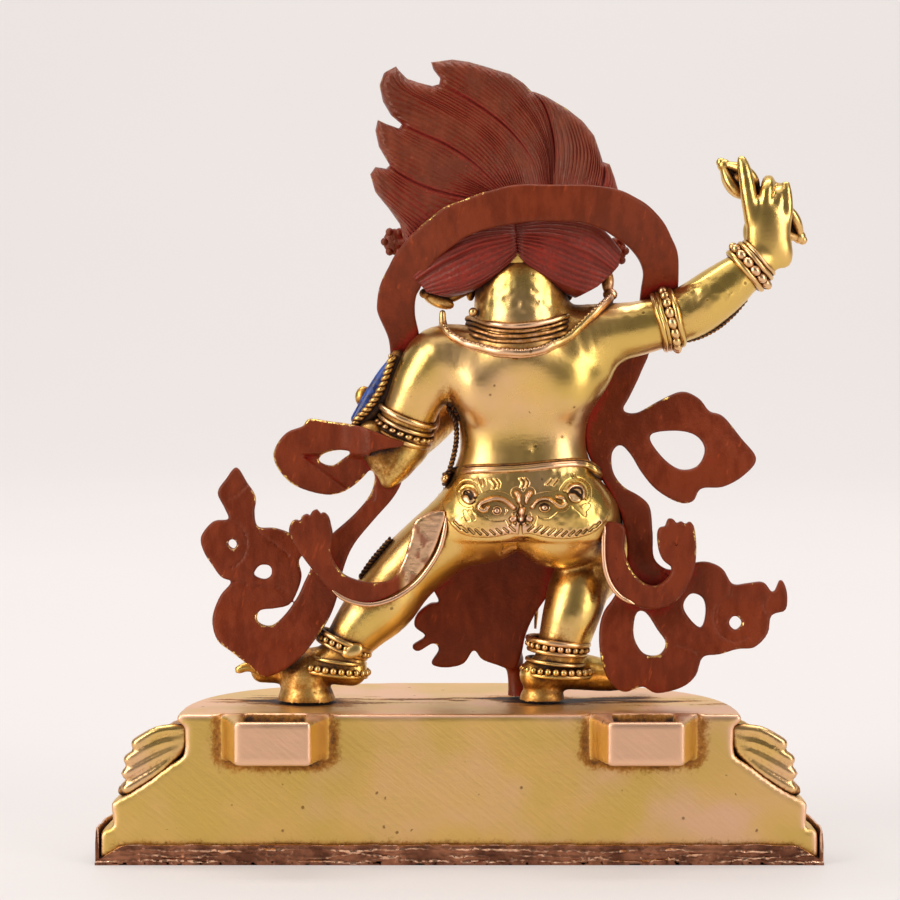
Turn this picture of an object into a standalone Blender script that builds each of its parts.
"""Gilt copper statue of a striding guardian deity on a flat-backed half-lotus pedestal.

The statue faces -Y, its left hand is towards +X, and +Z is up. Six pieces make it up: the sheet
that seals the pedestal, the cast pedestal, the cast figure, and a scarf of three flat castings.
The origin is the middle of the underside's bounding box.
"""

import math

import bmesh
import bpy
from mathutils import Euler, Matrix, Vector

MM = 0.001

# Sheet that seals the pedestal, folded up round the foot and behind the wall
SHEET_THICKNESS = 0.7 * MM
SHEET_FLARE = 14.3 * MM
SHEET_SKIRT_HEIGHT = 6.4 * MM
SHEET_LIP_HEIGHT = 3.6 * MM
SHEET_LIP_SLANT = 4.6 * MM
TOUCH_GAP = 0.3 * MM

# Pedestal
PLATFORM_HALF_WIDTH = 48.3 * MM
PLATFORM_DEPTH = 42.0 * MM
PLATFORM_HEIGHT = 25.8 * MM
PLATFORM_LIP = 1.8 * MM
NECK_INSET = 1.3 * MM
NECK_FOOT_HEIGHT = 19.0 * MM
SLOPE_FLARE = 11.7 * MM
SLOPE_FOOT_HEIGHT = 10.5 * MM
FOOT_FLARE = SHEET_FLARE - SHEET_THICKNESS - TOUCH_GAP
FOOT_HEIGHT = 6.6 * MM
PETAL_COUNT = 13
PETAL_BULGE = 5.0 * MM
PLAN_SQUARENESS = 2.7
PLAN_STEPS = 65

# Sockets behind the pedestal for the two tangs of a flame halo
SOCKET_SPREAD = 31.5 * MM
SOCKET_REACH = 9.0 * MM
SOCKET_ROOT_WIDTH = 18.0 * MM
SOCKET_FACE_WIDTH = 12.5 * MM
SOCKET_HEIGHT = 7.4 * MM
SLOT_WIDTH = 10.5 * MM
SLOT_DEPTH = 7.0 * MM
SLOT_WALL = 1.8 * MM
SLOT_FLOOR = 1.4 * MM

# Figure and scarf. The pose is given in parts of the figure's own height above the platform
FIGURE_HEIGHT = 112.7 * MM
FIGURE_PART_COUNT = 112.7
PLATFORM_PART_COUNT = 25.8
BACK_TO_FIGURE = 16.0 * MM
SCARF_THICKNESS = 1.8 * MM
ARCH_THICKNESS = 1.6 * MM
SKIN_THICKNESS = 2.3 * MM
HAIR_THICKNESS = 7.0 * MM
VOXEL = 0.62 * MM
KEPT_SHARE = 0.045

PART = FIGURE_HEIGHT / FIGURE_PART_COUNT
BACK_WALL_Y = BACK_TO_FIGURE
FRONT_Y = BACK_WALL_Y - PLATFORM_DEPTH - SHEET_FLARE
REAR_Y = BACK_WALL_Y + SOCKET_REACH
SHIFT_Y = -(FRONT_Y + REAR_Y) / 2
SHEET_TOP = SHEET_THICKNESS
PEDESTAL_FOOT = SHEET_TOP + TOUCH_GAP

GILT = ("gilt_copper", (0.83, 0.62, 0.25), 0.28, 1.0)
COPPER = ("sheet_copper", (0.42, 0.2, 0.13), 0.4, 1.0)
RED = ("red_pigment", (0.27, 0.045, 0.025), 0.5, 0.0)


def material(name, colour, roughness, metallic):
    """A Principled material, made once for each name."""
    made = bpy.data.materials.get(name)
    if made:
        return made
    made = bpy.data.materials.new(name)
    made.use_nodes = True
    made.diffuse_color = (*colour, 1.0)
    shader = made.node_tree.nodes["Principled BSDF"]
    shader.inputs["Base Color"].default_value = (*colour, 1.0)
    shader.inputs["Roughness"].default_value = roughness
    shader.inputs["Metallic"].default_value = metallic
    return made


def collection(name):
    """A collection of that name in the scene."""
    made = bpy.data.collections.get(name)
    if made is None:
        made = bpy.data.collections.new(name)
        bpy.context.scene.collection.children.link(made)
    return made


def add_object(name, mesh, finish, stand, group="guardian_statue"):
    """An object for the mesh, with its finish, placed by the stand."""
    obj = bpy.data.objects.new(name, mesh)
    obj.data.materials.append(material(*finish))
    collection(group).objects.link(obj)
    obj.parent = stand
    return obj


def make_cutter(obj):
    """Marks an object as a cutter, which isn't part of the model."""
    obj.hide_render = True
    obj.display_type = "WIRE"
    return obj


def spot(x, y, z):
    """A point of the figure, from its parts to metres above the platform."""
    return Vector((x * PART, y * PART, PLATFORM_HEIGHT + (z - PLATFORM_PART_COUNT) * PART))


def smooth_path(points, steps, closed=False):
    """Points on a Catmull-Rom curve through rows of numbers of any length."""
    count = len(points)
    spans = count if closed else count - 1
    path = []
    for span in range(spans):
        rows = [points[(span + k) % count] if closed else points[min(max(span + k, 0), count - 1)]
                for k in (-1, 0, 1, 2)]
        for step in range(steps):
            t = step / steps
            weights = (
                (-t + 2 * t**2 - t**3) / 2,
                (2 - 5 * t**2 + 3 * t**3) / 2,
                (t + 4 * t**2 - 3 * t**3) / 2,
                (-(t**2) + t**3) / 2,
            )
            path.append(tuple(sum(w * row[i] for w, row in zip(weights, rows))
                              for i in range(len(points[0]))))
    if not closed:
        path.append(tuple(points[-1]))
    return path


class Casting:
    """Overlapping balls, tubes and plates that the voxel remesh fuses into one casting."""

    def __init__(self):
        self.bm = bmesh.new()

    def take(self, obj):
        """Moves an object's evaluated mesh into the casting and removes the object."""
        graph = bpy.context.evaluated_depsgraph_get()
        mesh = bpy.data.meshes.new_from_object(obj.evaluated_get(graph))
        mesh.transform(obj.matrix_world)
        self.bm.from_mesh(mesh)
        bpy.data.objects.remove(obj)
        bpy.data.meshes.remove(mesh)

    def ball(self, x, y, z, rx, ry=None, rz=None, turn=(0, 0, 0), segments=20):
        """An ellipsoid, with its centre and radii in parts and its turn in degrees."""
        radii = Vector((rx, ry if ry else rx, rz if rz else rx)) * PART
        place = Matrix.Translation(spot(x, y, z))
        place @= Euler([math.radians(a) for a in turn]).to_matrix().to_4x4()
        place @= Matrix.Diagonal((*radii, 1))
        bmesh.ops.create_uvsphere(
            self.bm, u_segments=segments, v_segments=segments // 2, radius=1, matrix=place)

    def limb(self, *joints, closed=False, steps=4):
        """A round tube through rows of x, y, z and radius, in parts, with round ends."""
        curve = bpy.data.curves.new("limb", "CURVE")
        curve.dimensions = "3D"
        curve.bevel_depth = 1.0
        curve.bevel_resolution = 3
        curve.use_fill_caps = True
        path = smooth_path(joints, steps, closed)
        spline = curve.splines.new("POLY")
        spline.points.add(len(path) - 1)
        for point, (x, y, z, radius) in zip(spline.points, path):
            point.co = (*spot(x, y, z), 1)
            point.radius = radius * PART
        spline.use_cyclic_u = closed
        obj = bpy.data.objects.new("limb", curve)
        bpy.context.scene.collection.objects.link(obj)
        self.take(obj)
        if not closed:
            for x, y, z, radius in (joints[0], joints[-1]):
                self.ball(x, y, z, radius * 0.99, segments=14)

    def band(self, centre, axis, rx, ry, thickness):
        """A ring round a limb: its centre, the limb's direction, its two radii and its wire."""
        turn = Vector(axis).to_track_quat("Z", "Y").to_matrix()
        rows = []
        for step in range(24):
            angle = math.tau * step / 24
            offset = turn @ Vector((rx * math.cos(angle), ry * math.sin(angle), 0))
            rows.append((*(Vector(centre) + offset), thickness))
        self.limb(*rows, closed=True, steps=1)

    def plate(self, outline, y, thickness, holes=(), lift=None):
        """A flat casting with the outline in x and z, centred on the depth y, in parts."""
        mesh = plate_mesh(outline, holes, thickness * PART, lambda x, z: y + (lift(x, z) if lift else 0))
        self.bm.from_mesh(mesh)
        bpy.data.meshes.remove(mesh)

    def mesh(self, name):
        """The casting's mesh, before the modifiers."""
        made = bpy.data.meshes.new(name)
        self.bm.to_mesh(made)
        self.bm.free()
        return made


def plate_mesh(outline, holes, thickness, depth, steps=2):
    """A plate with outline and holes in x and z, in parts, whose depth follows a function."""
    curve = bpy.data.curves.new("plate", "CURVE")
    curve.dimensions = "2D"
    curve.fill_mode = "BOTH"
    curve.extrude = thickness / 2
    for loop in (outline, *holes):
        path = smooth_path(loop, steps, closed=True)
        spline = curve.splines.new("POLY")
        spline.points.add(len(path) - 1)
        for point, (x, z) in zip(spline.points, path):
            point.co = (x * PART, z * PART, 0, 1)
        spline.use_cyclic_u = True
    obj = bpy.data.objects.new("plate", curve)
    bpy.context.scene.collection.objects.link(obj)
    graph = bpy.context.evaluated_depsgraph_get()
    mesh = bpy.data.meshes.new_from_object(obj.evaluated_get(graph))
    bpy.data.objects.remove(obj)
    bm = bmesh.new()
    bm.from_mesh(mesh)
    bmesh.ops.remove_doubles(bm, verts=bm.verts, dist=1e-6)
    for vertex in bm.verts:
        x, z, across = vertex.co.x / PART, vertex.co.y / PART, vertex.co.z
        vertex.co = spot(x, depth(x, z), z) + Vector((0, across, 0))
    bmesh.ops.recalc_face_normals(bm, faces=bm.faces)
    if bm.calc_volume(signed=True) < 0:
        bmesh.ops.reverse_faces(bm, faces=bm.faces)
    bm.to_mesh(mesh)
    bm.free()
    return mesh


def ease(value, low, high):
    """0 below low, 1 above high and a smooth rise between."""
    t = min(max((value - low) / (high - low), 0.0), 1.0)
    return t * t * (3 - 2 * t)


def plan_curve(steps=PLAN_STEPS):
    """The platform's rim from its +X rear corner round the front, evenly spaced, with normals."""
    fine = []
    for step in range(721):
        angle = math.pi * step / 720
        c, s = math.cos(angle), max(math.sin(angle), 0.0)
        fine.append(Vector((
            PLATFORM_HALF_WIDTH * math.copysign(abs(c) ** (2 / PLAN_SQUARENESS), c),
            BACK_WALL_Y - PLATFORM_DEPTH * s ** (2 / PLAN_SQUARENESS), 0)))
    lengths = [0.0]
    for a, b in zip(fine, fine[1:]):
        lengths.append(lengths[-1] + (b - a).length)
    rim, index = [], 0
    for step in range(steps + 1):
        target = lengths[-1] * step / steps
        while index < len(fine) - 2 and lengths[index + 1] < target:
            index += 1
        span = lengths[index + 1] - lengths[index]
        rim.append(fine[index].lerp(fine[index + 1], (target - lengths[index]) / span))
    normals = []
    for step in range(steps + 1):
        along = rim[min(step + 1, steps)] - rim[max(step - 1, 0)]
        normals.append(Vector((-along.y, along.x, 0)).normalized())
    normals[0], normals[-1] = Vector((1, 0, 0)), Vector((-1, 0, 0))
    return rim, normals


def petal_swell(share, fall):
    """How far a petal stands out, by its place round the rim and down the slope, both 0 to 1."""
    across = abs(math.sin(math.pi * PETAL_COUNT * share))
    width = 0.12 + 0.88 * across**0.7
    down = min(max((fall - 0.1) / 0.84, 0.0), 1.0)
    return PETAL_BULGE * width * math.sin(math.pi * down) ** 0.8


def pedestal_levels():
    """Rows of flare, height and place down the petal slope, from the rim to the foot."""
    levels = [
        (-PLATFORM_LIP / 6, PLATFORM_HEIGHT, 0.0),
        (0.0, PLATFORM_HEIGHT - PLATFORM_LIP / 4, 0.0),
        (0.0, PLATFORM_HEIGHT - PLATFORM_LIP * 0.7, 0.0),
        (-NECK_INSET, PLATFORM_HEIGHT - PLATFORM_LIP, 0.0),
    ]
    slope_steps = 7
    petal_top = PLATFORM_HEIGHT - PLATFORM_LIP
    for step in range(1, slope_steps + 1):
        fall = step / slope_steps
        height = petal_top + (SLOPE_FOOT_HEIGHT - petal_top) * fall
        down = max((NECK_FOOT_HEIGHT - height) / (NECK_FOOT_HEIGHT - SLOPE_FOOT_HEIGHT), 0.0)
        levels.append((-NECK_INSET + (SLOPE_FLARE + NECK_INSET) * down, height, fall))
    levels += [
        (SLOPE_FLARE - 0.06 * FOOT_FLARE, (SLOPE_FOOT_HEIGHT + FOOT_HEIGHT) / 2, 0.0),
        (SLOPE_FLARE - 0.06 * FOOT_FLARE, FOOT_HEIGHT, 0.0),
        (SLOPE_FLARE + 0.75 * (FOOT_FLARE - SLOPE_FLARE), FOOT_HEIGHT * 0.88, 0.0),
        (FOOT_FLARE, FOOT_HEIGHT * 0.55, 0.0),
        (FOOT_FLARE, PEDESTAL_FOOT, 0.0),
    ]
    return levels


def pedestal_mesh():
    """A loft of flat-backed rings, with swelling petals round the slope."""
    rim, normals = plan_curve()
    bm = bmesh.new()
    rings = []
    for flare, height, fall in pedestal_levels():
        ring = []
        for step, (point, normal) in enumerate(zip(rim, normals)):
            swell = petal_swell(step / PLAN_STEPS, fall) if fall else 0.0
            if step in (0, PLAN_STEPS):
                swell = 0.0
            ring.append(bm.verts.new(point + normal * (flare + swell) + Vector((0, 0, height))))
        rings.append(ring)
    for upper, lower in zip(rings, rings[1:]):
        for k in range(PLAN_STEPS):
            bm.faces.new((upper[k], upper[k + 1], lower[k + 1], lower[k]))
    bm.faces.new(rings[0])
    bm.faces.new(list(reversed(rings[-1])))
    bm.faces.new([ring[0] for ring in rings] + [ring[-1] for ring in reversed(rings)])
    bmesh.ops.recalc_face_normals(bm, faces=bm.faces)
    bmesh.ops.triangulate(bm, faces=[f for f in bm.faces if len(f.verts) == 4])
    mesh = bpy.data.meshes.new("lotus_pedestal")
    bm.to_mesh(mesh)
    bm.free()
    return mesh


def prism(name, corners, low, high, group="cutters", stand=None):
    """A solid with the flat outline of x and y corners, between two heights."""
    bm = bmesh.new()
    floor = [bm.verts.new((x, y, low)) for x, y in corners]
    face = bm.faces.new(floor)
    raised = bmesh.ops.extrude_face_region(bm, geom=[face])["geom"]
    for item in raised:
        if isinstance(item, bmesh.types.BMVert):
            item.co.z = high
    bmesh.ops.recalc_face_normals(bm, faces=bm.faces)
    mesh = bpy.data.meshes.new(name)
    bm.to_mesh(mesh)
    bm.free()
    return add_object(name, mesh, GILT, stand, group)


def add_boolean(obj, other, operation):
    """A Boolean modifier with the exact solver."""
    modifier = obj.modifiers.new(other.name, "BOOLEAN")
    modifier.object = other
    modifier.operation = operation
    modifier.solver = "EXACT"


def make_pedestal(stand):
    """The cast lotus pedestal with its two halo sockets."""
    pedestal = add_object("lotus_pedestal", pedestal_mesh(), GILT, stand)
    sink = 1.0 * MM
    top = PLATFORM_HEIGHT - PLATFORM_LIP / 12
    for side in (1, -1):
        middle = side * SOCKET_SPREAD
        lug = prism(
            f"lug_{side:+d}",
            [(middle - SOCKET_ROOT_WIDTH / 2, BACK_WALL_Y - sink),
             (middle + SOCKET_ROOT_WIDTH / 2, BACK_WALL_Y - sink),
             (middle + SOCKET_ROOT_WIDTH / 2, BACK_WALL_Y),
             (middle + SOCKET_FACE_WIDTH / 2, REAR_Y),
             (middle - SOCKET_FACE_WIDTH / 2, REAR_Y),
             (middle - SOCKET_ROOT_WIDTH / 2, BACK_WALL_Y)],
            top - SOCKET_HEIGHT, top, stand=stand)
        add_boolean(pedestal, make_cutter(lug), "UNION")
        slot_rear = REAR_Y - SLOT_WALL
        slot = prism(
            f"slot_{side:+d}",
            [(middle - SLOT_WIDTH / 2, slot_rear - SLOT_DEPTH),
             (middle + SLOT_WIDTH / 2, slot_rear - SLOT_DEPTH),
             (middle + SLOT_WIDTH / 2, slot_rear),
             (middle - SLOT_WIDTH / 2, slot_rear)],
            top - SOCKET_HEIGHT + SLOT_FLOOR, PLATFORM_HEIGHT + sink, stand=stand)
        add_boolean(pedestal, make_cutter(slot), "DIFFERENCE")
    return pedestal


def make_sheet(stand):
    """The copper sheet under the pedestal, folded up round the foot and behind the wall."""
    rim, normals = plan_curve(40)
    outer = [point + normal * SHEET_FLARE for point, normal in zip(rim, normals)]
    inner = [point + normal * (SHEET_FLARE - SHEET_THICKNESS) for point, normal in zip(rim, normals)]
    lip_front = BACK_WALL_Y + TOUCH_GAP
    lip_rear = lip_front + SHEET_THICKNESS
    corners = [(p.x, p.y) for p in outer]
    corners += [(outer[-1].x, lip_rear), (outer[0].x, lip_rear)]
    sheet = prism("sealing_sheet", corners, 0.0, SHEET_TOP, "guardian_statue", stand)
    sheet.data.materials.clear()
    sheet.data.materials.append(material(*COPPER))
    corners = [(p.x, p.y) for p in outer] + [(p.x, p.y) for p in reversed(inner)]
    skirt = prism("skirt", corners, SHEET_TOP / 2, SHEET_SKIRT_HEIGHT, stand=stand)
    add_boolean(sheet, make_cutter(skirt), "UNION")
    half = outer[0].x - SHEET_THICKNESS / 2
    lip = prism(
        "lip", [(-half, lip_front), (half, lip_front), (half, lip_rear), (-half, lip_rear)],
        SHEET_TOP / 2, SHEET_LIP_HEIGHT, stand=stand)
    for vertex in lip.data.vertices:
        if vertex.co.z > SHEET_TOP:
            vertex.co.x -= math.copysign(SHEET_LIP_SLANT, vertex.co.x)
    add_boolean(sheet, make_cutter(lip), "UNION")
    return sheet


def build_trunk(cast):
    """Chest, belly, hips and the neck."""
    cast.ball(-11.3, -0.3, 83.5, 13.0, 7.6, 8.6)
    cast.limb((1.5, 0, 86.2, 6.2), (-10.8, 0.6, 87.2, 6.9), (-22.5, -0.4, 90, 5.8))
    cast.ball(-11.2, -0.6, 74.0, 11.0, 7.2, 10.0)
    cast.ball(-11.2, -4.2, 73.5, 9.6, 7.2, 8.0)
    cast.ball(-12.2, 0.8, 61.0, 15.6, 8.0, 7.4)
    cast.ball(-4.6, 2.2, 58.6, 7.0, 6.6, 6.2)
    cast.ball(-18.8, 2.2, 58.2, 7.4, 6.6, 6.4)
    cast.limb((-10.9, -0.4, 89.5, 8.4), (-10.9, -0.6, 95, 8.0), (-10.6, -1.4, 100, 7.6))


def build_legs(cast):
    """The stretched left leg, the bent right leg, the feet and the tenons under them."""
    cast.limb((-3.5, 0.4, 57, 7.6), (4, -0.2, 54, 5.7), (9.8, -1.2, 48.3, 5.4), (14, 0, 42.8, 5.0),
              (19, 0.8, 39.2, 4.0), (21.5, 1, 34.8, 3.7))
    cast.limb((18.6, 2.0, 32, 2.6), (23, 1.2, 32.8, 3.1), (29, 0.2, 31.9, 2.7), (35.4, -0.8, 31.4, 2.1))
    cast.limb((26.5, 0.6, 24, 4.9), (26.5, 0.6, 27, 4.2), (26.5, 0.6, 31, 4.4))
    cast.limb((-19.5, 1, 57.5, 7.6), (-24, -5.5, 54, 6.8), (-25.5, -9, 50.8, 5.8))
    cast.limb((-25, -8.2, 49.6, 5.6), (-20.8, -2, 45, 5.5), (-19, 0, 40, 4.9), (-17.6, 0.4, 35, 4.3))
    cast.limb((-13.8, 1.2, 31, 2.9), (-20, -1, 31, 3.1), (-27, -4, 29.9, 2.6), (-33, -6.6, 29.6, 2.0))
    cast.limb((-14.6, 0, 24, 3.5), (-14.6, 0, 27.5, 2.9), (-14.8, 0, 31, 3.4))
    for toe in range(5):
        cast.limb((34.5, 1.6 - 1.5 * toe, 31.6, 0.9), (37.6 - 0.3 * toe, 1.4 - 1.6 * toe, 32.4, 0.85), steps=1)
        cast.limb((-31.8 + 0.2 * toe, -2.8 - 1.7 * toe, 29.4, 0.9),
                  (-35 + 0.5 * toe, -4 - 1.7 * toe, 29.6, 0.8), steps=1)


def build_arms(cast):
    """The bent left arm across the chest and the raised right arm with its hand."""
    cast.limb((2, 0, 86, 6.0), (6, 0.3, 80.5, 5.2), (9, -0.5, 75, 4.8), (9.8, -2, 71, 4.4),
              (5, -9, 75, 3.8), (-1, -13.5, 79.5, 2.9))
    cast.ball(-4.6, -15.2, 82.4, 3.4, 1.9, 4.0, (0, 20, 30))
    cast.limb((9.8, -1.2, 70.5, 4.3), (12, 0.6, 66.4, 2.3))
    for reach, rise in ((-2.6, 87.6), (-4.4, 85.4), (-5.8, 84.6), (-7.0, 84.0)):
        cast.limb((reach + 0.4, -15.4, 84.0, 1.0), (reach, -16.2, rise, 0.8), steps=1)
    cast.limb((-22.5, 0, 90, 5.8), (-30, 0, 91.3, 4.8), (-37, 0, 92.8, 4.7), (-41, 0, 94.4, 4.7),
              (-45.6, 0, 97.7, 4.5), (-49.5, 0, 100.6, 3.6), (-52.8, 0, 103.2, 2.9))
    cast.ball(-54.0, 0, 107.6, 3.9, 1.9, 5.6)
    cast.limb((-51.3, 0, 111, 1.3), (-50.7, -0.3, 116, 1.15), (-49.7, -0.6, 120.6, 0.85))
    cast.limb((-53.1, 0, 111, 1.3), (-53.6, -0.8, 116, 1.15), (-54.2, -3, 117.4, 1.0), (-54, -5, 115.4, 0.9))
    cast.limb((-55, 0, 110.6, 1.2), (-55.4, -0.8, 115, 1.05), (-55.8, -3, 116, 0.95), (-55.6, -5, 114, 0.9))
    cast.limb((-56.8, 0, 110, 1.2), (-57.2, -0.2, 113.5, 1.1), (-57, -0.6, 116.2, 0.8))
    cast.limb((-51.6, -1.4, 107, 1.4), (-51.4, -4.2, 110, 1.2), (-53, -6, 112.2, 1.0))


def build_vajra(cast):
    """The five-pronged thunderbolt held by the right hand."""
    centre = Vector((-53.1, -3.6, 113.7))
    axis = Vector((-1, 0, -0.94)).normalized()
    across = Vector((0, 1, 0))
    third = axis.cross(across)
    cast.limb((*(centre - axis * 8), 1.1), (*(centre + axis * 8), 1.1), steps=1)
    cast.ball(*centre, 2.0)
    for end in (-1, 1):
        for turn in range(4):
            angle = math.pi / 4 + math.pi / 2 * turn
            out = across * math.cos(angle) + third * math.sin(angle)
            rows = [(*(centre + axis * end * along + out * reach), 0.75)
                    for along, reach in ((2.2, 0.8), (4.2, 2.7), (6.6, 2.6), (8.6, 0.7))]
            cast.limb(*rows, steps=2)
        cast.ball(*(centre + axis * end * 9.4), 1.35)


def build_head(cast):
    """The head with its face, ears, earrings and five-skull crown."""
    cast.ball(-10.6, -2.6, 104, 8.8, 8.6, 9.4)
    cast.ball(-10.6, -6.6, 101, 7.4, 5.2, 6.8)
    cast.ball(-10.6, -4.2, 109, 8.6, 6.6, 5.0)
    cast.ball(-10.6, -10.2, 96.6, 3.4, 2.2, 2.4)
    for side in (-1, 1):
        cast.ball(-10.6 + side * 3.3, -10.0, 104.4, 1.9, 1.6, 1.5)
        cast.ball(-10.6 + side * 4.4, -9.2, 100.6, 2.6, 2.2, 2.2)
        cast.limb((-10.6 + side * 0.9, -11.4, 105.9, 0.8), (-10.6 + side * 3.6, -11, 107.4, 0.9),
                  (-10.6 + side * 6.6, -8.6, 107, 0.7))
        cast.ball(-10.6 + side * 9.2, -1.6, 101.6, 1.5, 1.8, 3.2)
    cast.ball(-10.6, -11.2, 108.6, 0.9, 0.8, 1.5)
    cast.ball(-10.6, -12.0, 102.4, 1.9, 1.7, 1.5)
    cast.limb((-10.6, -11.0, 105.4, 1.1), (-10.6, -12.2, 102.8, 1.3), steps=1)
    cast.limb((-14, -9.4, 98.6, 0.8), (-10.6, -11.4, 99.4, 0.9), (-7.2, -9.4, 98.6, 0.8))
    cast.limb((-13.4, -9.4, 97.6, 0.7), (-10.6, -11.2, 97.0, 0.8), (-7.8, -9.4, 97.6, 0.7))
    cast.ball(2.6, -1.4, 97.0, 3.9, 1.5, 1.7, (0, -12, 0))
    cast.limb((-1.2, -1.6, 98.8, 1.2), (2.4, -1.5, 97.2, 1.2), steps=1)
    cast.ball(-25.4, -1.4, 99.4, 1.6, 1.5, 2.7)
    cast.limb((-19.8, -1.6, 100.5, 1.2), (-25, -1.5, 99.6, 1.2), steps=1)
    crown = []
    for step in range(9):
        angle = math.radians(-80 + 20 * step)
        crown.append((-10.6 + 9.6 * math.sin(angle), -2.4 - 9.2 * math.cos(angle), 110.2, 1.0))
    cast.limb(*crown, steps=1)
    for step in range(5):
        angle = math.radians(-64 + 32 * step)
        x, y = -10.6 + 9.8 * math.sin(angle), -2.2 - 9.4 * math.cos(angle)
        cast.ball(x, y, 112.4, 1.9, 1.7, 2.0)
        cast.limb((x, y + 0.5, 113.6, 1.3), (x, y + 1.0, 117.4 - 0.3 * abs(step - 2), 0.6), steps=1)
    cast.ball(11.2, -2.2, 106.6, 2.0, 1.1, 2.6)
    cast.limb((-1.6, -3, 106, 1.3), (9.5, -2.4, 106.2, 1.3), steps=1)
    cast.ball(-27.6, -2.2, 105.2, 1.7, 1.1, 2.3)
    cast.limb((-19.6, -3, 105.4, 1.3), (-27, -2.4, 105.2, 1.3), steps=1)


HAIR_OUTLINE = [
    (10.0, 108.0), (8.6, 100.0), (-8.0, 100.0), (-26.5, 106.0), (-27.8, 116.0), (-27.0, 118.4),
    (-25.9, 120.4), (-24.8, 120.6), (-24.0, 123.5), (-22.4, 126.5), (-19.8, 129.4), (-16.0, 131.6),
    (-13.6, 132.7), (-12.6, 132.5), (-11.2, 134.6), (-8.0, 136.2), (-3.5, 137.6), (1.0, 138.4),
    (5.0, 137.7), (4.2, 136.3), (3.2, 134.9), (4.2, 133.8), (7.2, 134.2), (9.4, 135.1),
    (10.8, 137.1), (12.4, 136.6), (13.7, 135.2), (13.7, 132.6), (12.8, 130.2), (11.2, 128.2),
    (9.9, 127.0), (10.6, 126.3), (12.4, 127.2), (14.2, 127.9), (14.7, 126.0), (14.2, 123.6),
    (13.0, 121.4), (12.0, 120.1), (12.8, 119.4), (15.2, 119.5), (15.4, 117.2), (14.2, 115.0),
    (12.4, 112.8), (10.6, 110.6),
]


def build_hair(cast):
    """The upswept mane and the two combed swirls at the back of the head."""
    def lean(x, z):
        return 1.5 - 2.5 * ease(z, 105, 138)
    cast.plate(HAIR_OUTLINE, 0, HAIR_THICKNESS / PART * 0.72, lift=lean)
    cast.ball(-8.5, 1.2, 116.5, 15.5, 5.0, 9.0, (0, 30, 0))
    cast.ball(-16, 1.0, 115, 10.5, 5.0, 9.0)
    cast.ball(-2.6, 3.0, 103.6, 9.4, 4.4, 5.4, (0, 24, 0))
    cast.ball(-18.2, 3.0, 103.4, 9.2, 4.4, 6.2, (0, -22, 0))


LEFT_PAW = [
    (2.5, 60.0), (3.2, 56.0), (5.2, 51.4), (8.2, 47.6), (11.8, 45.1), (15.6, 43.9), (19.4, 44.4),
    (22.6, 46.6), (25.2, 49.6), (27.6, 52.8), (29.4, 56.2), (28.6, 58.8), (26.9, 59.2),
    (25.4, 60.2), (23.8, 59.4), (22.6, 58.6), (21.9, 55.8), (22.2, 52.6), (20.6, 49.6),
    (18.2, 48.2), (15.0, 47.5), (11.6, 48.2), (9.8, 51.2), (8.6, 54.8), (7.4, 58.6),
]
RIGHT_PAW = [
    (-24.8, 57.6), (-25.0, 53.0), (-25.6, 48.8), (-27.4, 45.6), (-30.2, 43.6), (-33.6, 42.8),
    (-36.8, 43.6), (-39.2, 46.0), (-40.8, 49.6), (-41.2, 53.4), (-40.7, 56.8), (-39.8, 58.0),
    (-38.2, 57.5), (-36.6, 58.4), (-35.4, 57.1), (-34.5, 56.4), (-34.6, 53.4), (-35.4, 51.4),
    (-36.9, 50.0), (-36.2, 48.2), (-34.2, 46.9), (-31.8, 47.6), (-29.8, 50.0), (-28.7, 53.4),
    (-28.6, 57.4),
]
APRON = [
    (5.0, 56.0), (6.0, 51.0), (5.0, 46.0), (3.6, 43.0), (5.2, 42.6), (7.4, 40.8), (7.9, 38.6),
    (6.0, 36.9), (8.3, 35.2), (7.2, 34.2), (4.6, 35.6), (3.6, 34.4), (4.9, 32.0), (2.4, 31.3),
    (-0.8, 32.0), (-2.6, 34.4), (-4.0, 32.8), (-6.6, 31.8), (-9.6, 31.0), (-11.0, 33.4),
    (-11.8, 37.0), (-13.4, 40.6), (-16.4, 45.0), (-19.0, 50.0), (-18.0, 56.0),
]


def build_skin(cast):
    """The tiger skin's two hanging paws and the apron in front, with the prop under it."""
    skin = SKIN_THICKNESS / PART
    cast.plate(LEFT_PAW, 5.7, skin, lift=lambda x, z: 1.2 * ease(x, 10, 20))
    cast.plate(RIGHT_PAW, 5.4, skin)
    cast.plate(APRON, -6.4, skin, lift=lambda x, z: 1.4 * ease(z, 50, 34))
    cast.limb((-9.8, -6.2, 32.5, 1.7), (-10, -5.6, 29, 1.3), (-10.6, -5, 24, 2.0))


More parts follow.
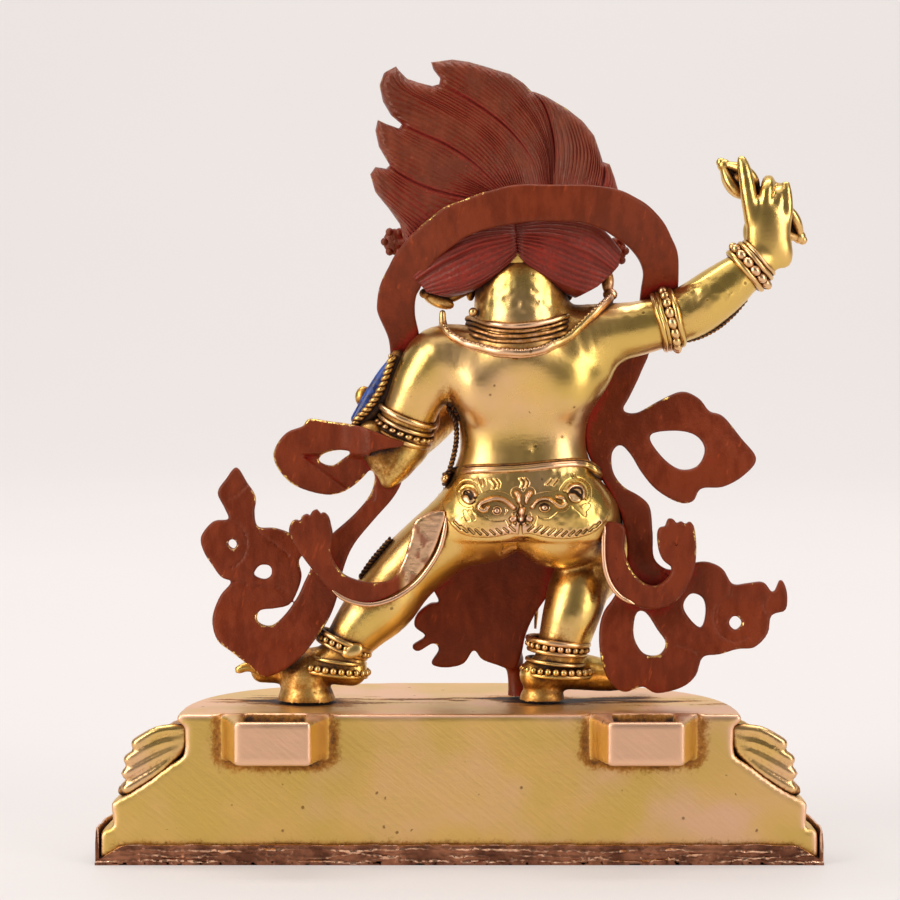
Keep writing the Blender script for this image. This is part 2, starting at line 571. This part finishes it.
def build_ornaments(cast):
    """Necklaces, armlets, bracelets, anklets and the belt."""
    cast.band((-10.9, -0.2, 92.2), (0, 0.1, 1), 9.0, 8.7, 0.8)
    cast.limb((3, 1, 91.8, 1.0), (-1, 5.2, 89.4, 0.9), (-6, 7.0, 87.8, 0.9), (-10.8, 7.5, 87.2, 0.9),
              (-16, 6.8, 88.6, 0.9), (-20, 5.4, 91, 0.9), (-24, 2.6, 94.8, 0.9), (-26.8, 0, 96.6, 0.9),
              (-24, -4, 92, 0.9), (-17, -7.4, 86, 0.9), (-10.8, -8.4, 83.6, 1.1),
              (-4, -7.4, 85, 0.9), (1, -4.6, 88.6, 0.9), closed=True, steps=2)
    cast.limb((3, 1, 92, 0.7), (3.2, 1.2, 94, 0.65), steps=1)
    cast.band((9.3, -0.4, 75.6), (0.35, -0.1, -0.9), 5.0, 5.1, 0.8)
    cast.band((9.7, -1.0, 73.2), (0.35, -0.3, -0.9), 4.8, 4.9, 0.8)
    cast.band((-35.6, 0, 92.6), (-1, 0, 0.36), 5.0, 5.0, 0.7)
    cast.band((-37.6, 0, 93.1), (-1, 0, 0.36), 5.0, 5.0, 0.7)
    cast.band((-50.4, 0, 101.6), (-1, 0, 0.85), 4.0, 3.9, 0.7)
    cast.band((-52.0, 0, 102.9), (-1, 0, 0.85), 3.6, 3.5, 0.6)
    cast.band((20.6, 0.9, 36.4), (0.45, 0, -1), 4.5, 4.4, 0.8)
    cast.band((22.6, 1.2, 32.6), (0.12, 0, -1), 5.2, 4.0, 0.8)
    cast.band((-17.8, 0.3, 36.4), (0.2, 0, -1), 5.2, 4.7, 0.8)
    cast.band((-16.6, 0.4, 31.4), (0.1, 0, -1), 5.4, 4.2, 0.8)
    cast.band((-11.2, -0.4, 67.0), (-0.03, 0, 1), 12.0, 7.9, 0.8)


ARCH_LINE = [
    (9.5, -3.0, 86.2, 2.4), (9.9, -1.6, 90.8, 2.8), (10.9, 0.6, 96.0, 3.3), (8.8, 3.6, 101.6, 3.5),
    (4.6, 6.8, 107.0, 3.4), (-1.6, 8.4, 110.9, 3.2), (-8.6, 9.0, 113.0, 3.2), (-16.0, 9.2, 113.4, 3.3),
    (-23.2, 8.6, 112.8, 3.4), (-29.6, 6.6, 110.4, 3.6), (-33.8, 3.4, 106.4, 3.5),
    (-35.3, 0.6, 101.6, 3.3), (-35.0, -2.4, 96.4, 3.2),
]
LEFT_FALL = [
    (13.6, 69.6), (13.4, 72.6), (15.4, 74.0), (19.0, 74.6), (22.4, 75.2), (26.2, 75.7), (27.4, 74.4),
    (30.0, 73.4), (31.8, 71.4), (32.5, 69.2), (31.6, 66.8), (29.4, 64.4), (26.2, 63.0), (22.6, 62.4),
    (19.6, 63.2), (17.2, 65.0), (15.6, 66.6), (14.8, 65.4), (15.6, 62.4), (18.2, 59.2), (21.6, 56.2),
    (24.6, 53.8), (26.6, 54.2), (29.8, 55.9), (32.4, 56.7), (35.2, 56.9), (35.8, 59.4), (35.6, 62.0),
    (37.2, 64.6), (39.0, 67.2), (40.8, 65.2), (42.3, 62.8), (41.1, 60.2), (40.4, 58.2), (43.0, 57.8),
    (45.1, 55.2), (44.6, 52.6), (43.2, 50.4), (41.6, 48.2), (39.9, 47.2), (41.8, 44.8), (43.1, 41.0),
    (42.2, 37.4), (39.6, 35.3), (36.6, 33.0), (34.2, 31.0), (31.0, 31.9), (27.6, 34.4), (24.8, 37.8),
    (22.6, 41.2), (21.2, 45.0), (20.2, 49.6), (18.4, 53.8), (14.8, 58.2), (11.6, 61.8), (10.0, 64.8),
    (10.8, 67.0),
]
LEFT_FALL_HOLES = [
    [(24.6, 68.3), (23.6, 69.6), (21.2, 70.2), (19.0, 69.9), (20.4, 68.6), (22.4, 67.4)],
    [(26.4, 51.4), (25.9, 49.8), (27.0, 47.4), (28.4, 44.4), (30.8, 41.2), (33.0, 39.7), (35.2, 40.5),
     (34.8, 42.3), (32.0, 42.7), (29.6, 43.4), (28.2, 45.8), (27.5, 48.4), (28.0, 50.8), (27.2, 52.0)],
    [(35.8, 48.6), (34.8, 50.2), (33.0, 50.1), (32.8, 48.6), (34.0, 47.8)],
    [(40.4, 54.0), (39.6, 54.8), (38.8, 54.0), (39.4, 53.1)],
]
RIGHT_FALL = [
    (-26.6, 87.0), (-33.4, 88.0), (-32.2, 83.6), (-30.2, 79.4), (-29.0, 77.0), (-31.4, 76.5),
    (-35.4, 78.6), (-39.4, 80.2), (-42.4, 79.0), (-44.2, 76.8), (-46.6, 75.9), (-49.6, 72.2),
    (-52.2, 68.6), (-49.8, 65.6), (-46.2, 63.7), (-42.4, 63.4), (-41.0, 61.2), (-38.4, 61.0),
    (-34.6, 63.2), (-32.0, 66.2), (-30.2, 69.2), (-28.4, 70.9), (-26.9, 69.6), (-27.0, 66.4),
    (-28.8, 63.8), (-31.8, 62.0), (-33.5, 60.0), (-33.9, 55.6), (-34.1, 51.4), (-36.6, 49.4),
    (-39.6, 50.2), (-43.0, 50.8), (-46.0, 49.6), (-47.8, 46.9), (-50.4, 47.0), (-53.2, 47.2),
    (-54.9, 45.4), (-56.2, 47.7), (-57.3, 45.6), (-57.1, 42.4), (-54.6, 41.4), (-53.8, 38.4),
    (-51.4, 36.1), (-48.5, 35.8), (-45.3, 34.9), (-42.4, 34.4), (-41.2, 31.2), (-38.7, 29.1),
    (-34.4, 28.1), (-31.8, 29.3), (-28.8, 28.3), (-26.2, 30.1), (-24.7, 34.0), (-24.4, 38.4),
    (-25.2, 41.8), (-27.0, 44.4), (-28.8, 48.0), (-29.4, 53.6), (-28.4, 58.6), (-26.4, 62.6),
    (-24.4, 66.0), (-22.4, 70.0), (-22.2, 74.6), (-23.4, 79.0), (-25.2, 83.2),
]
RIGHT_FALL_HOLES = [
    [(-33.6, 72.6), (-38.0, 73.4), (-41.6, 72.6), (-43.2, 70.2), (-41.8, 67.3), (-38.6, 66.8),
     (-35.4, 69.2)],
    [(-31.2, 42.0), (-32.7, 41.8), (-34.6, 39.0), (-36.0, 36.8), (-34.8, 34.8), (-32.2, 35.0),
     (-30.6, 37.4), (-30.5, 40.0)],
    [(-39.2, 43.2), (-40.6, 45.2), (-42.6, 44.4), (-43.1, 42.0), (-42.2, 39.4), (-40.2, 41.0)],
    [(-47.1, 40.2), (-48.2, 41.4), (-49.4, 40.2), (-48.2, 39.0)],
]


def left_fall_depth(x, z):
    """The left fall leans from the elbow back to behind the foot."""
    return 0.2 + 2.6 * ease(z, 66, 50) + 2.6 * ease(z, 44, 34)


def right_fall_depth(x, z):
    """The right fall runs in front of the arm and ends behind the bent leg."""
    return -6.6 + 6.4 * ease(z, 84, 62) + 2.4 * ease(z, 60, 50) + 3.2 * ease(z, 44, 34)


def arch_mesh(thicken, widen):
    """The strip behind the head, as a closed loft of four-cornered sections."""
    path = smooth_path(ARCH_LINE, 3)
    bm = bmesh.new()
    sections = []
    centre = Vector((-12.0, 0.0, 96.0))
    for k, (x, y, z, half) in enumerate(path):
        before, after = Vector(path[max(k - 1, 0)][:3]), Vector(path[min(k + 1, len(path) - 1)][:3])
        along = (after - before).normalized()
        out = Vector((x, y, z)) - centre
        across = (out - along * out.dot(along))
        across.y *= 0.25
        across = (across - along * across.dot(along)).normalized()
        face = across.cross(along).normalized()
        width, thick = half * PART + widen, ARCH_THICKNESS / 2 + thicken
        middle = spot(x, y, z)
        sections.append([bm.verts.new(middle + across * a * width + face * b * thick)
                         for a, b in ((-1, -1), (1, -1), (1, 1), (-1, 1))])
    for first, second in zip(sections, sections[1:]):
        for k in range(4):
            bm.faces.new((first[k], first[(k + 1) % 4], second[(k + 1) % 4], second[k]))
    bm.faces.new(sections[0])
    bm.faces.new(list(reversed(sections[-1])))
    bmesh.ops.recalc_face_normals(bm, faces=bm.faces)
    bmesh.ops.triangulate(bm, faces=bm.faces)
    mesh = bpy.data.meshes.new("scarf_arch")
    bm.to_mesh(mesh)
    bm.free()
    return mesh


def swollen(mesh, growth):
    """A copy of a closed mesh with every point moved out along its normal."""
    grown = mesh.copy()
    bm = bmesh.new()
    bm.from_mesh(grown)
    bm.normal_update()
    moves = {v: v.normal.copy() for v in bm.verts}
    for vertex, normal in moves.items():
        vertex.co += normal * growth
    bmesh.ops.triangulate(bm, faces=bm.faces)
    bm.to_mesh(grown)
    bm.free()
    return grown


def make_scarf(stand):
    """The arch behind the head and the two pierced falls, with a seat cutter for each."""
    seat = TOUCH_GAP * 2.2
    arch = add_object("scarf_arch", arch_mesh(0, 0), RED, stand)
    arch_seat = add_object("arch_seat", arch_mesh(TOUCH_GAP, TOUCH_GAP), RED, stand, "cutters")
    left_mesh = plate_mesh(LEFT_FALL, LEFT_FALL_HOLES, SCARF_THICKNESS, left_fall_depth)
    right_mesh = plate_mesh(RIGHT_FALL, RIGHT_FALL_HOLES, SCARF_THICKNESS, right_fall_depth)
    left = add_object("scarf_left_fall", left_mesh, RED, stand)
    right = add_object("scarf_right_fall", right_mesh, RED, stand)
    left_seat = add_object("left_seat", swollen(left_mesh, seat), RED, stand, "cutters")
    right_seat = add_object("right_seat", swollen(right_mesh, seat), RED, stand, "cutters")
    return [arch, left, right], [make_cutter(o) for o in (arch_seat, left_seat, right_seat)]


def make_figure(stand, seats):
    """The cast figure: overlapping forms fused by voxels, thinned, and cut for what it meets."""
    cast = Casting()
    for build in (build_trunk, build_legs, build_arms, build_vajra, build_head, build_hair,
                  build_skin, build_ornaments):
        build(cast)
    figure = add_object("figure", cast.mesh("figure"), GILT, stand)
    remesh = figure.modifiers.new("fuse", "REMESH")
    remesh.mode = "VOXEL"
    remesh.voxel_size = VOXEL
    soften = figure.modifiers.new("soften", "SMOOTH")
    soften.factor = 0.5
    soften.iterations = 3
    thin = figure.modifiers.new("thin", "DECIMATE")
    thin.ratio = KEPT_SHARE
    for seat in seats:
        add_boolean(figure, seat, "DIFFERENCE")
    ground = prism(
        "ground",
        [(-PLATFORM_HALF_WIDTH, FRONT_Y), (PLATFORM_HALF_WIDTH, FRONT_Y),
         (PLATFORM_HALF_WIDTH, REAR_Y), (-PLATFORM_HALF_WIDTH, REAR_Y)],
        PEDESTAL_FOOT, PLATFORM_HEIGHT + TOUCH_GAP, stand=stand)
    add_boolean(figure, make_cutter(ground), "DIFFERENCE")
    return figure


def shade(objects, angle=38.0):
    """Smooth shading, with creases where faces meet at more than the angle."""
    for obj in objects:
        obj.data.shade_smooth()
        obj.data.set_sharp_from_angle(angle=math.radians(angle))


def main():
    """Clears the scene and builds the statue."""
    for obj in list(bpy.data.objects):
        bpy.data.objects.remove(obj)
    stand = bpy.data.objects.new("stand", None)
    stand.location = (0, SHIFT_Y, 0)
    collection("guardian_statue").objects.link(stand)
    sheet = make_sheet(stand)
    pedestal = make_pedestal(stand)
    scarf, seats = make_scarf(stand)
    figure = make_figure(stand, seats)
    shade([sheet, pedestal, figure, *scarf])


main()
